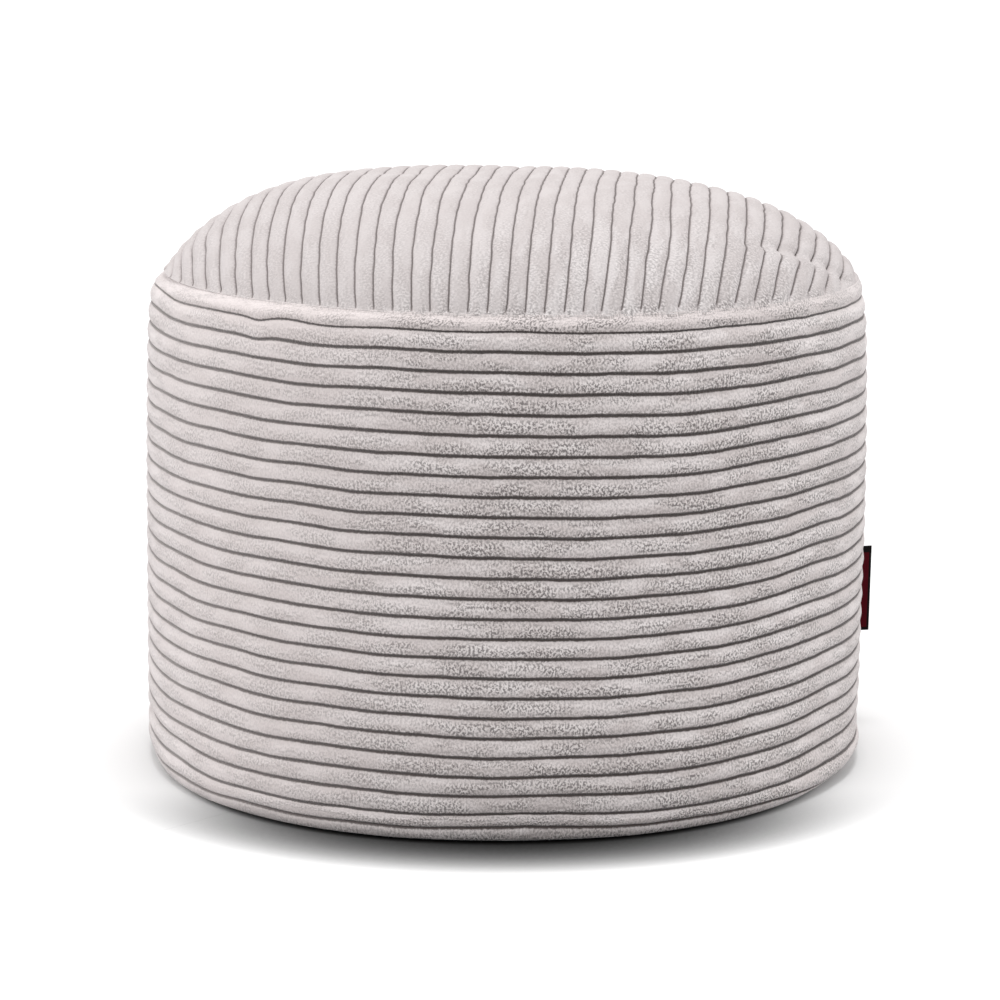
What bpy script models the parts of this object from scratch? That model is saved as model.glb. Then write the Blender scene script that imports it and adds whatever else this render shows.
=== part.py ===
"""Bean bag footstool: a filled drum of wide-wale corduroy.

A round top panel, a side band and a round bottom panel are sewn into a drum and
filled with loose beads. A folded woven label is caught in the band's upright seam.

Metres, +Z up. The origin is the middle of the base, on the floor. The front is -Y.
Each filled piece is a turned solid. One guide lattice then gives the bag its slump:
the top leans down towards +X and the foot creeps towards -X.
"""
import math

import bmesh
import bpy

# Driving dimensions
WIDEST_RADIUS = 0.250        # the band at its widest ring
WIDEST_HEIGHT = 0.113        # height of that ring above the floor
BARREL_DROP = 0.0053         # how far the band draws in, BARREL_SPAN away from its widest ring
BARREL_SPAN = 0.200
SEAM_HEIGHT = 0.332          # the seam between the top panel and the band
SEAM_DEPTH = 0.004           # how far the seam is drawn in
CROWN_HEIGHT = 0.066         # the top panel's highest point above the seam
CROWN_RADIUS = 0.2428        # the top panel's outer edge
CROWN_SQUARENESS = 3.4       # 2 is a round dome, more is a flatter middle and a steeper edge
CROWN_STEEPNESS = 1.04       # 1 is a plain slope at the edge, 2 is an upright one
FOOT_ROUNDING = 0.004        # radius of the turned-under foot
SHOULDER_ROUNDING = 0.005    # radius of the band's roll just under the seam
CLOTH = 0.0022               # thickness of the corduroy with its pile
TOP_TILT = 0.0033            # how far the top's +X side is down and its -X side is up
FOOT_CREEP = -0.0025         # how far the foot sits along X from the middle
TOP_CREEP = 0.0008           # how far the top sits along X from the middle
GAP = 0.0003                 # clear space between neighbouring pieces

LABEL_AZIMUTH = 103.0        # degrees round from the front, towards +X
LABEL_HEIGHT = 0.062
LABEL_MIDDLE = 0.0935        # height of the label's middle above the floor
LABEL_REACH = 0.022          # how far the folded label stands out of the band
LABEL_PLY = 0.0009
LABEL_FOLD_GAP = 0.0005      # between the label's two layers
LABEL_FOLD_POINTS = 7

SEGMENTS = 96                # facets round the bag
CROWN_RINGS = 15
CROWN_RING_CROWDING = 1.8    # 1 spaces the top's rings evenly, more crowds them at its edge
BAND_RINGS = 16
CORNER_POINTS = 5            # points along each rounded corner of a profile


def clear_scene():
    for old in list(bpy.data.objects):
        bpy.data.objects.remove(old, do_unlink=True)


def cloth_material(name, colour, roughness):
    material = bpy.data.materials.new(name)
    material.use_nodes = True
    shader = material.node_tree.nodes["Principled BSDF"]
    shader.inputs["Base Color"].default_value = (*colour, 1.0)
    shader.inputs["Roughness"].default_value = roughness
    shader.inputs["Metallic"].default_value = 0.0
    material.diffuse_color = (*colour, 1.0)
    return material


def barrel_radius(height):
    """The band's outer radius at a height: a shallow barrel."""
    return WIDEST_RADIUS - BARREL_DROP * ((height - WIDEST_HEIGHT) / BARREL_SPAN) ** 2


def corner(centre_radius, centre_height, rounding, start, end):
    """Points along a rounded corner, in degrees up from straight outwards."""
    points = []
    for i in range(CORNER_POINTS):
        angle = math.radians(start + (end - start) * i / (CORNER_POINTS - 1))
        points.append((centre_radius + rounding * math.cos(angle),
                       centre_height + rounding * math.sin(angle)))
    return points


def turned(name, profile, material, collection):
    """Turn a profile of (radius, height) points, listed from the top down, about Z."""
    mesh = bpy.data.meshes.new(name)
    outline = bmesh.new()
    previous = None
    for radius, height in profile:
        point = outline.verts.new((radius, 0.0, height))
        if previous:
            outline.edges.new((previous, point))
        previous = point
    outline.to_mesh(mesh)
    outline.free()
    piece = bpy.data.objects.new(name, mesh)
    collection.objects.link(piece)
    screw = piece.modifiers.new("Turn", "SCREW")
    screw.axis = "Z"
    screw.angle = math.tau
    screw.steps = SEGMENTS
    screw.render_steps = SEGMENTS
    screw.use_merge_vertices = True
    screw.merge_threshold = 0.00001
    screw.use_smooth_shade = True
    mesh.materials.append(material)
    return piece


def slump_lattice(collection):
    """A box of guide points round the whole bag that tilts and shifts its layers."""
    total_height = SEAM_HEIGHT + CROWN_HEIGHT
    lattice = bpy.data.lattices.new("slump_guide")
    lattice.points_u = 2
    lattice.points_v = 2
    lattice.points_w = 3
    lattice.interpolation_type_u = "KEY_LINEAR"
    lattice.interpolation_type_v = "KEY_LINEAR"
    lattice.interpolation_type_w = "KEY_LINEAR"
    guide = bpy.data.objects.new("slump_guide", lattice)
    guide.location = (0.0, 0.0, total_height / 2)
    guide.scale = (2 * WIDEST_RADIUS, 2 * WIDEST_RADIUS, total_height / 2)
    guide.display_type = "WIRE"
    guide.hide_render = True
    collection.objects.link(guide)

    # The three layers of points are at the floor, half way up and at the crown.
    creep = [FOOT_CREEP, 0.0, TOP_CREEP]
    tilt = [0.0, TOP_TILT / 2, TOP_TILT]
    for point in lattice.points:
        side = 1 if point.co.x > 0 else -1
        layer = round(point.co.z) + 1
        point.co_deform = (point.co.x + creep[layer] / guide.scale.x,
                           point.co.y,
                           point.co.z - side * tilt[layer] / guide.scale.z)
    return guide


def slumped(piece, guide):
    piece.modifiers.new("Slump", "LATTICE").object = guide
    return piece


def crown_point(share):
    """A point on the top panel, from its middle (share 0) to its edge (share 1)."""
    edge_height = SEAM_HEIGHT + GAP + SEAM_DEPTH
    radius = CROWN_RADIUS * (1 - (1 - share) ** CROWN_RING_CROWDING)
    fall = (1 - (radius / CROWN_RADIUS) ** CROWN_SQUARENESS) ** (1 / CROWN_STEEPNESS)
    rise = SEAM_HEIGHT + CROWN_HEIGHT - edge_height
    return radius, edge_height + rise * fall


def make_top_panel(material, collection):
    """The crowned top: a low dome whose edge rolls in to the seam."""
    dome = [crown_point(i / CROWN_RINGS) for i in range(CROWN_RINGS)]
    edge = corner(CROWN_RADIUS - SEAM_DEPTH, SEAM_HEIGHT + GAP + SEAM_DEPTH, SEAM_DEPTH, 0, -90)
    middle = [(0.0, SEAM_HEIGHT + GAP)]
    return turned("top_panel", dome + edge + middle, material, collection)


def make_side_band(material, collection):
    """The filled drum: a roll under the seam, a barrel side and a turned-under foot."""
    top = SEAM_HEIGHT
    shoulder_height = top - SHOULDER_ROUNDING
    shoulder = corner(barrel_radius(shoulder_height) - SHOULDER_ROUNDING, shoulder_height,
                      SHOULDER_ROUNDING, 90, 0)
    side = []
    for i in range(1, BAND_RINGS):
        height = shoulder_height + (FOOT_ROUNDING - shoulder_height) * i / BAND_RINGS
        side.append((barrel_radius(height), height))
    foot_radius = barrel_radius(FOOT_ROUNDING) - FOOT_ROUNDING
    foot = corner(foot_radius, FOOT_ROUNDING, FOOT_ROUNDING, 0, -90)
    rim = foot_radius - CLOTH
    under = [(rim, 0.0), (rim, CLOTH + GAP), (0.0, CLOTH + GAP)]
    return turned("side_band", [(0.0, top)] + shoulder + side + foot + under, material, collection)


def make_bottom_panel(material, collection):
    """The flat round panel inside the foot's rim."""
    radius = barrel_radius(FOOT_ROUNDING) - FOOT_ROUNDING - CLOTH - GAP
    profile = [(0.0, CLOTH), (radius, CLOTH), (radius, 0.0), (0.0, 0.0)]
    return turned("bottom_panel", profile, material, collection)


def half_circle(centre, radius):
    """Points round the outside of the label's fold, from one face to the other."""
    points = []
    for i in range(LABEL_FOLD_POINTS):
        angle = math.pi * (0.5 - i / (LABEL_FOLD_POINTS - 1))
        points.append((centre + radius * math.cos(angle), radius * math.sin(angle)))
    return points


def make_label(material, collection):
    """A strip folded once: two layers a little apart, joined at the outer edge."""
    root = barrel_radius(LABEL_MIDDLE) + 2 * GAP
    outer = LABEL_PLY + LABEL_FOLD_GAP / 2
    inner = LABEL_FOLD_GAP / 2
    fold = root + LABEL_REACH - outer
    outline = [(root, outer)] + half_circle(fold, outer) + [(root, -outer), (root, -inner)]
    outline += half_circle(fold, inner)[::-1] + [(root, inner)]

    curve = bpy.data.curves.new("label", "CURVE")
    curve.dimensions = "2D"
    curve.fill_mode = "BOTH"
    curve.extrude = LABEL_HEIGHT / 2
    spline = curve.splines.new("POLY")
    spline.points.add(len(outline) - 1)
    spline.use_cyclic_u = True
    for point, (along, across) in zip(spline.points, outline):
        point.co = (along, across, 0.0, 1.0)
    curve.materials.append(material)
    label = bpy.data.objects.new("label", curve)
    label.location.z = LABEL_MIDDLE
    label.rotation_euler.z = math.radians(LABEL_AZIMUTH - 90)
    label.location.x = FOOT_CREEP / 2
    collection.objects.link(label)
    return label


def main():
    clear_scene()
    collection = bpy.data.collections.new("bean_bag_footstool")
    guides = bpy.data.collections.new("guides")
    bpy.context.scene.collection.children.link(collection)
    bpy.context.scene.collection.children.link(guides)

    top_cord = cloth_material("top_corduroy", (0.71, 0.68, 0.66), 0.9)
    band_cord = cloth_material("band_corduroy", (0.62, 0.58, 0.56), 0.9)
    base_cloth = cloth_material("base_cloth", (0.40, 0.38, 0.37), 0.9)
    label_weave = cloth_material("label_weave", (0.02, 0.015, 0.015), 0.7)

    guide = slump_lattice(guides)
    slumped(make_top_panel(top_cord, collection), guide)
    slumped(make_side_band(band_cord, collection), guide)
    slumped(make_bottom_panel(base_cloth, collection), guide)
    make_label(label_weave, collection)


main()
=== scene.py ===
# %% [markdown]
# # A bean bag footstool in wide-wale corduroy
# The real thing is a round bag of cloth, sewn from a top panel, a side band and a
# bottom panel, and filled with loose beads. The cloth is a jumbo corduroy: soft
# ribs, called wales, with a thin groove between each two. The wales are what the
# eye sees first, so here they are real geometry, and the shader only adds the grain
# of the pile, its nap, painted shade in the bottoms of the grooves, on the wales'
# sides and between the tufts, and painted highlights on the tufts.

# %% Load the frame
import math

import bmesh
import bpy
import numpy as np
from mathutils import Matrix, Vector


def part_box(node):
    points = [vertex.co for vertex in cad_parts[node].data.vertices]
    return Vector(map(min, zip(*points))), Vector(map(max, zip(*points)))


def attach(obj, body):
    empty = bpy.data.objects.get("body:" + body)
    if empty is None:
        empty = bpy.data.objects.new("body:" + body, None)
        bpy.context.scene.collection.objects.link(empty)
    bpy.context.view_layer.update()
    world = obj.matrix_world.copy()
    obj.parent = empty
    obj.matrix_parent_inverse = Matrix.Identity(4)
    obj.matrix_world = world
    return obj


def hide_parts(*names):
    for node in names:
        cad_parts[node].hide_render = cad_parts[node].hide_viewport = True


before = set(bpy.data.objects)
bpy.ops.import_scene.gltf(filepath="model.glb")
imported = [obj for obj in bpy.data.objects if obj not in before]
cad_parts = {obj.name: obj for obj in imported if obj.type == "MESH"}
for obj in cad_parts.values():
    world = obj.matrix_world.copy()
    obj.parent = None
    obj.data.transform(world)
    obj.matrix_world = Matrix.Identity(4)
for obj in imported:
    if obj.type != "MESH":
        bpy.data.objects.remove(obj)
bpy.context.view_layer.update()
print("nodes in the frame:", sorted(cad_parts))

# %% [markdown]
# ## Sizes
# Every place comes from the frame, so the looks always fit the solids. The one new
# size is the wale: 12.7 mm from groove to groove. The top panel is cut from the
# same cloth, so it has the same wale.

# %% Sizes taken from the frame
top_low, top_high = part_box("top_panel")
band_low, band_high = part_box("side_band")
label_low, label_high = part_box("label")
base_low, base_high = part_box("bottom_panel")

BAG_RADIUS = (band_high.y - band_low.y) / 2
SEAM_HEIGHT = (band_high.z + top_low.z) / 2
CROWN_RISE = top_high.z - SEAM_HEIGHT
WALE = 0.0127
GROOVE_DEPTH = 0.0023
print(f"bag radius {BAG_RADIUS:.4f} m, seam at {SEAM_HEIGHT:.4f} m, crown rises {CROWN_RISE:.4f} m")

# %% [markdown]
# ## The bag's outline
# A sewn drum is easiest to describe by one outline, from the middle of the crown
# down to the foot, turned round the bag. The outline is measured along the cloth,
# in metres from the crown's middle, because cloth keeps its length: a wale that is
# 12.7 mm wide on the cutting table is 12.7 mm wide on the bag, however it curves.

# %% The outline, measured along the cloth
SEAM_RADIUS = 0.2379  # the seam is drawn in a little
CROWN_SQUARENESS = 3.83  # 2 is a round dome, more is a flatter middle
LOPSIDED_SQUARENESS = 0.29  # less of it at +X, and more at -X
CROWN_STEEPNESS = 1.24  # how upright the crown's edge is
LOPSIDED_STEEPNESS = 0.15  # more of it at +X, and less at -X
WIDEST_HEIGHT = 0.113
BARREL_DROP = 0.0034  # the band draws in this much, BARREL_SPAN above its widest ring
BARREL_SPAN = 0.200
SHOULDER_DROP = 0.0045  # and this much more just under the seam
SHOULDER_SPAN = 0.016
ROLL_HEIGHT = 0.0065  # the soft roll between the seam and the first groove
ROLL_START = math.radians(50)  # the roll leaves the seam already sloping down
FOOT_HEIGHT = 0.011  # where the band starts to turn under
FOOT_DEPTH = 0.0110  # how far the turned-under foot draws in
CROWN_POINTS, ROLL_POINTS, SIDE_POINTS, FOOT_POINTS = 500, 24, 300, 40


def clamped(value):
    """Kept between 0 and 1."""
    return np.clip(value, 0.0, 1.0)


def band_radius(height):
    """The crest of the wales at a height on the band."""
    barrel = BARREL_DROP * ((height - WIDEST_HEIGHT) / BARREL_SPAN) ** 2
    shoulder = SHOULDER_DROP * np.exp(-(SEAM_HEIGHT - height) / SHOULDER_SPAN)
    return BAG_RADIUS - barrel - shoulder


def crown_share(radius, lopsided=0.0):
    """How much of the crown's rise is left at a radius, from 1 in the middle to 0."""
    share = clamped(radius / SEAM_RADIUS)
    squareness = CROWN_SQUARENESS - LOPSIDED_SQUARENESS * lopsided
    steepness = CROWN_STEEPNESS + LOPSIDED_STEEPNESS * lopsided
    return clamped(1.0 - share ** squareness) ** (1.0 / steepness)


def outline_points():
    """(radius, height) from the crown's middle to the floor under the foot."""
    radius = SEAM_RADIUS * (1.0 - np.linspace(1.0, 0.0, CROWN_POINTS) ** 2)
    crown = np.column_stack([radius, SEAM_HEIGHT + CROWN_RISE * crown_share(radius)])

    roll_height = SEAM_HEIGHT - ROLL_HEIGHT
    turn = np.linspace(ROLL_START, math.pi / 2, ROLL_POINTS)[1:]
    out = (np.sin(turn) - math.sin(ROLL_START)) / (1 - math.sin(ROLL_START))
    down = 1 - np.cos(turn) / math.cos(ROLL_START)
    roll_out = band_radius(roll_height) - SEAM_RADIUS
    roll = np.column_stack([SEAM_RADIUS + roll_out * out, SEAM_HEIGHT - ROLL_HEIGHT * down])

    height = np.linspace(roll_height, FOOT_HEIGHT, SIDE_POINTS)[1:]
    side = np.column_stack([band_radius(height), height])

    turn = np.linspace(0.0, math.pi / 2, FOOT_POINTS)[1:]
    foot_radius = band_radius(FOOT_HEIGHT) - FOOT_DEPTH * (1 - np.cos(turn))
    foot = np.column_stack([foot_radius, FOOT_HEIGHT * (1 - np.sin(turn))])
    return np.concatenate([crown, roll, side, foot])


outline = outline_points()
steps = np.linalg.norm(np.diff(outline, axis=0), axis=1)
cloth_at = np.concatenate([[0.0], np.cumsum(steps)])
SEAM_AT = cloth_at[CROWN_POINTS - 1]
FLOOR_AT = cloth_at[-1]
print(f"cloth from the crown's middle to the seam {SEAM_AT:.4f} m, to the floor {FLOOR_AT:.4f} m")

# %% [markdown]
# Where two outlines meet at the seam there would be a sharp valley, which soft pile
# never shows. Averaging the outline over a few millimetres of cloth fills it.

# %% Fill the seam's valley
SEAM_FILLET = 0.0024  # the pile fills the valley over this much cloth on either side
FILLET_REACH = 0.010  # no cloth further from the seam than this is touched
FILLET_FADE = 0.003
FILLET_STEPS = 81
FILLET_SAMPLES = 41


def fillet_table():
    """How far the filled valley lies from the bare outline, as (cloth, outwards, up)."""
    at = SEAM_AT + np.linspace(-FILLET_REACH, FILLET_REACH, FILLET_STEPS)
    near = np.linspace(-3.0, 3.0, FILLET_SAMPLES) * SEAM_FILLET
    weight = np.exp(-0.5 * (near / SEAM_FILLET) ** 2)
    weight = weight / weight.sum()
    smooth = [np.interp(at[:, None] + near, cloth_at, outline[:, i]) @ weight for i in (0, 1)]
    bare = [np.interp(at, cloth_at, outline[:, i]) for i in (0, 1)]
    edge = clamped((FILLET_REACH - np.abs(at - SEAM_AT)) / FILLET_FADE)
    return at, (smooth[0] - bare[0]) * edge, (smooth[1] - bare[1]) * edge


fillet_at, fillet_out, fillet_up = fillet_table()
print(f"the fillet lifts the seam by {1000 * fillet_up.max():.1f} mm")

# %% [markdown]
# ## A bag that has been sat on
# A turned shape looks machined. This bag leans: its top is a little lower on one
# side, its foot has crept the other way, and the beads have pushed the foot out
# between the front and the sides. Small bumps of a bell curve are enough for that,
# each one placed by its angle round the bag, from the front towards +X.

# %% Slump, lean and spread
TOP_TILT = 0.0033
BAND_CREEP = 0.0010
CROWN_CREEP = 0.0037
ROLL_CLOTH = 0.009  # the cloth over which the two creeps blend
FOOT_CREEP = -0.0030
FOOT_CREEP_SPAN = 0.070
FOOT_SPREAD = 0.0062
FOOT_SPREAD_SPAN = 0.045
RIGHT_CORNER = (54.0, 12.0, 0.0036)  # angle, width in degrees, push outwards


def bell(x, middle, width):
    return np.exp(-((x - middle) / width) ** 2)


def hand_placed(table, across, along):
    """The sum of a table of bells: two middles, two reaches and an amount in each row."""
    return sum(amount * bell(across, middle, reach) * bell(along, far, far_reach)
               for middle, far, reach, far_reach, amount in table)


def slumped_surface(at, azimuth):
    """Points on the smooth bag: at is metres along the cloth, azimuth is in radians."""
    radius = np.interp(at, cloth_at, outline[:, 0])
    height = np.interp(at, cloth_at, outline[:, 1])
    crown = SEAM_HEIGHT + CROWN_RISE * crown_share(radius, lopsided=np.sin(azimuth))
    height = np.where(at < SEAM_AT, crown, height)
    radius = radius + np.interp(at, fillet_at, fillet_out)
    height = height + np.interp(at, fillet_at, fillet_up)

    near_foot = np.where(at > SEAM_AT, np.exp(-height / FOOT_SPREAD_SPAN), 0.0)
    angle, width, push = RIGHT_CORNER
    spread = FOOT_SPREAD * np.sin(2 * azimuth) ** 2 + push * bell(np.degrees(azimuth), angle, width)
    radius = radius + spread * near_foot

    x = radius * np.sin(azimuth)
    y = -radius * np.cos(azimuth)
    share = height / SEAM_HEIGHT
    on_crown = clamped((SEAM_AT + ROLL_CLOTH - at) / ROLL_CLOTH)
    creep = BAND_CREEP * share + (CROWN_CREEP - BAND_CREEP) * on_crown ** 2 * (3 - 2 * on_crown)
    creep = creep + FOOT_CREEP * np.exp(-height / FOOT_CREEP_SPAN)
    height = height - TOP_TILT * share * x / BAG_RADIUS
    return np.stack([x + creep, y, height], axis=-1)


# %% [markdown]
# ## From a grid of points to cloth
# Both corduroy panels are grids: mesh lines along the wales one way, and steps
# along each wale the other way. The grid is laid on the bag first. Its normals
# then say which way is out, and the grooves are pressed in along them.

# %% Grid helpers
SHARP_FOLD = math.radians(65)  # edges that fold more than this are shaded sharp


def grid_normals(points, wraps):
    """Outward normals of a grid of points, rows by columns."""
    down = np.gradient(points, axis=0)
    if wraps:
        padded = np.concatenate([points[:, -1:], points, points[:, :1]], axis=1)
        across = np.gradient(padded, axis=1)[:, 1:-1]
    else:
        across = np.gradient(points, axis=1)
    normal = np.cross(down, across)
    normal = normal / np.maximum(np.linalg.norm(normal, axis=-1, keepdims=True), 1e-12)
    outward = points - np.array([0.0, 0.0, SEAM_HEIGHT / 2])
    return normal * np.sign(np.sum(normal * outward, axis=-1, keepdims=True).mean())


def grid_faces(rows, columns, wraps, first=0):
    """The four-sided faces between neighbouring grid points, as a list of indices."""
    index = np.arange(rows * columns).reshape(rows, columns) + first
    if wraps:
        index = np.concatenate([index, index[:, :1]], axis=1)
    corners = [index[:-1, :-1], index[1:, :-1], index[1:, 1:], index[:-1, 1:]]
    return np.stack(corners, axis=-1).reshape(-1, 4).tolist()


def add_object(name, data):
    thing = bpy.data.objects.new(name, data)
    bpy.context.scene.collection.objects.link(thing)
    return thing


def cloth_object(name, points, faces, wale=None, along=None):
    """A smooth-shaded mesh object that knows where it is on its cloth."""
    mesh = bpy.data.meshes.new(name)
    mesh.from_pydata(points.reshape(-1, 3).tolist(), [], faces)
    for field_name, values in (("wale", wale), ("along", along)):
        if values is not None:
            field = mesh.attributes.new(field_name, "FLOAT", "POINT")
            field.data.foreach_set("value", values.astype(np.float32).ravel())
    solid = bmesh.new()
    solid.from_mesh(mesh)
    bmesh.ops.recalc_face_normals(solid, faces=solid.faces)
    litres = 1000 * solid.calc_volume(signed=True)
    solid.to_mesh(mesh)
    solid.free()
    mesh.shade_smooth()
    mesh.set_sharp_from_angle(angle=SHARP_FOLD)
    piece = add_object(name, mesh)
    triangles = sum(len(face.vertices) - 2 for face in mesh.polygons)
    print(f"{name}: {triangles} triangles, round {litres:.3f} litres")
    return piece


# %% [markdown]
# ## Filling the cover
# A bean bag's cover is never quite full. It is cut a little larger than the bag
# stands, so the beads push it out between the seams and it wrinkles where it is
# held. Blender's Cloth does that here on a coarse cover: pressure stands for the
# beads, the seam and the foot are pinned, and the cloth grows by two and a half per
# cent. What is kept is only how uneven the cover has become, smoothed and with a
# soft upper limit, because the outline above already has the right size.

# %% Fill a coarse cover with Cloth
COVER_RINGS = 64
COVER_COLUMNS = 108
CROWN_RINGS = 28  # of them, the ones from the crown to the seam
COVER_START = 0.02  # the first ring is this far from the crown's middle
COVER_GROWTH = -0.025  # Cloth's shrink factor, so less than nothing is growth
BEAD_PRESSURE = 4.0
SETTLE_FRAMES = 20
MOST_SETTLING = 0.0030  # no point of the cover may end further off than this
SETTLING_FADE = 0.05  # and it fades out over this much cloth round the crown's middle
SMOOTHINGS = 3
# where the cover is held: the place on the cloth, and how far it is held on either side (metres)
COVER_HELD = ((SEAM_AT, 0.004), (FLOOR_AT, 0.012), (COVER_START, 0.004))

band_rings = np.linspace(SEAM_AT, FLOOR_AT, COVER_RINGS - CROWN_RINGS + 1)[1:]
cover_at = np.concatenate([np.linspace(COVER_START, SEAM_AT, CROWN_RINGS), band_rings])


def coarse_cover():
    azimuth = np.linspace(0, math.tau, COVER_COLUMNS, endpoint=False)
    points = slumped_surface(cover_at[:, None], azimuth)
    faces = grid_faces(COVER_RINGS, COVER_COLUMNS, wraps=True)
    last_ring = (COVER_RINGS - 1) * COVER_COLUMNS
    faces.append(list(reversed(range(COVER_COLUMNS))))
    faces.append(list(range(last_ring, last_ring + COVER_COLUMNS)))
    mesh = bpy.data.meshes.new("coarse_cover")
    mesh.from_pydata(points.reshape(-1, 3).tolist(), [], faces)
    cover = add_object("coarse_cover", mesh)
    held = cover.vertex_groups.new(name="seams")
    for ring, at in enumerate(cover_at):
        hold = max(bell(at, place, reach) for place, reach in COVER_HELD)
        held.add(range(ring * COVER_COLUMNS, (ring + 1) * COVER_COLUMNS), float(hold), "REPLACE")
    return cover, points


def filled_cover():
    """How far the filled cover differs from the smooth bag, ring by column."""
    cover, start = coarse_cover()
    cloth = cover.modifiers.new("Filling", "CLOTH").settings
    cloth.quality = 6
    cloth.mass = 0.25
    cloth.tension_stiffness = 25
    cloth.compression_stiffness = 25
    cloth.shear_stiffness = 8
    cloth.bending_stiffness = 0.8
    cloth.use_pressure = True
    cloth.uniform_pressure_force = BEAD_PRESSURE
    cloth.shrink_min = COVER_GROWTH
    cloth.vertex_group_mass = "seams"
    cloth.effector_weights.gravity = 0.0
    scene = bpy.context.scene
    for frame_number in range(1, SETTLE_FRAMES + 1):
        scene.frame_set(frame_number)
    settled = cover.evaluated_get(bpy.context.evaluated_depsgraph_get()).data
    end = np.empty(3 * len(settled.vertices))
    settled.vertices.foreach_get("co", end)
    moved = end.reshape(start.shape) - start
    scene.frame_set(1)
    bpy.data.objects.remove(cover, do_unlink=True)
    moved -= moved.mean(axis=1, keepdims=True)
    radial = start / np.maximum(np.linalg.norm(start[..., :2], axis=-1, keepdims=True), 1e-6)
    radial[..., 2] = 0.0
    swell = np.sum(moved * radial, axis=-1)
    moved -= swell.mean(axis=1)[:, None, None] * radial
    for _ in range(SMOOTHINGS):
        moved = (np.roll(moved, 1, axis=1) + 2 * moved + np.roll(moved, -1, axis=1)) / 4
        moved[1:-1] = (moved[:-2] + 2 * moved[1:-1] + moved[2:]) / 4
    length = np.linalg.norm(moved, axis=-1, keepdims=True)
    print(f"the cover settled by {1000 * length.mean():.1f} mm on average, {1000 * length.max():.1f} at most")
    return moved / np.sqrt(1.0 + (length / MOST_SETTLING) ** 2)


settling = filled_cover()


# %% Read the settled cover between its points
def four_weights(t):
    """Catmull-Rom weights: a smooth curve through the two points before and the two after."""
    return (0.5 * (-t ** 3 + 2 * t ** 2 - t), 0.5 * (3 * t ** 3 - 5 * t ** 2 + 2),
            0.5 * (-3 * t ** 3 + 4 * t ** 2 + t), 0.5 * (t ** 3 - t ** 2))


def bag_surface(at, azimuth):
    """Points on the filled bag."""
    at, azimuth = np.broadcast_arrays(at, azimuth)
    ring = np.interp(at, cover_at, np.arange(COVER_RINGS))
    column = (azimuth % math.tau) / math.tau * COVER_COLUMNS
    ring_floor, column_floor = np.floor(ring).astype(int), np.floor(column).astype(int)
    ring_weights = four_weights(ring - ring_floor)
    column_weights = four_weights(column - column_floor)
    push = np.zeros(at.shape + (3,))
    for i, ring_weight in enumerate(ring_weights):
        rows = np.clip(ring_floor + i - 1, 0, COVER_RINGS - 1)
        for j, column_weight in enumerate(column_weights):
            columns = (column_floor + j - 1) % COVER_COLUMNS
            push += (ring_weight * column_weight)[..., None] * settling[rows, columns]
    return slumped_surface(at, azimuth) + push * clamped(at / SETTLING_FADE)[..., None]


# %% [markdown]
# ## One wale
# Seen from its end, a wale is a flat-topped cushion with soft shoulders that fall
# steeply into the groove. A superellipse draws that with two numbers. The mesh has
# most of its lines at the shoulders, where the shape turns, and few on the crest.

# %% The wale's section, and where the mesh has its lines
WALE_FLATNESS = 2.7
WALE_SHOULDER = 1.55
ROUND_FLATNESS = 0.6  # a wale at the bag's sides is rounder by these amounts
ROUND_SHOULDER = 0.3
LINES_IN_A_WALE = np.array([0.0, 0.030, 0.062, 0.115, 0.22, 0.50, 0.78, 0.885, 0.938, 0.970])


def wale_section(wale, roundness=0.0):
    """0 in a groove, where wale is a whole number, and 1 on the crest."""
    share = np.abs(2.0 * (wale - np.floor(wale)) - 1.0)
    flatness = WALE_FLATNESS - ROUND_FLATNESS * roundness
    shoulder = WALE_SHOULDER - ROUND_SHOULDER * roundness
    return clamped(1.0 - share ** flatness) ** (1.0 / shoulder)


def wale_lines(first, last):
    """The mesh lines, counted in wales, between two places."""
    lines = (np.arange(math.floor(first), math.ceil(last))[:, None] + LINES_IN_A_WALE).ravel()
    return lines[(lines >= first) & (lines <= last)]


def wander(x, y, wavelength, seed, waves=9):
    """A smooth field from about -1 to 1 that wanders over a wavelength, the same each run."""
    random = np.random.default_rng(seed)
    heading = random.uniform(0, math.tau, waves)
    phase = random.uniform(0, math.tau, waves)
    stretch = random.uniform(0.7, 1.6, waves) * math.tau / wavelength
    field = sum(np.sin(s * (x * math.cos(h) + y * math.sin(h)) + p)
                for h, p, s in zip(heading, phase, stretch))
    return field / math.sqrt(waves / 2) / 1.6


# %% [markdown]
# ## The side band
# The band is one long strip whose wales run round the bag, closed by one upright
# seam on the right, just behind the side, where the label is caught. The strip
# never meets itself perfectly, so the wales step a little across that seam.

# %% Places on the band
LABEL_AZIMUTH = math.atan2((label_low.x + label_high.x) / 2, -(label_low.y + label_high.y) / 2)
FIRST_GROOVE_AT = SEAM_AT + 0.0113
WALES = 27
LAST_WHOLE_WALE = 25  # the wale after this one is squeezed by the turned-up hem
SQUEEZED_WALE = 0.0086
BAND_COLUMNS = 318
SEAM_COLUMNS = 26
SEAM_ZONE = 0.009  # they crowd within this much cloth of the upright seam
UPRIGHT_SEAM_DEPTH = 0.0024
UPRIGHT_SEAM_WIDTH = 0.0016
UPRIGHT_SEAM_PULL = 0.0010
UPRIGHT_SEAM_PULL_WIDTH = 0.011
SEAM_OVERLAP = 0.0012  # the band's pile lies over the top panel's edge by this much
STRIP_MISMATCH = 0.16  # in wales, across the upright seam
GROOVE_WANDER = 0.00055  # the grooves' slow wander, and a quicker one a quarter as large
RIPPLE_SHARE = 0.25
SIDES_FROM, SIDES_OVER = 0.16, 0.07  # the wales get rounder from this X, over this distance
TUCK_IN = 0.975  # the hidden edge under the seam, against the radius
BAND_TUCK_DOWN = 0.006
TOP_TUCK_DOWN = 0.0045
FOOT_TUCK_IN = 0.985  # and the hidden edge under the foot
FOOT_TUCK_UP = 0.0005

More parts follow.
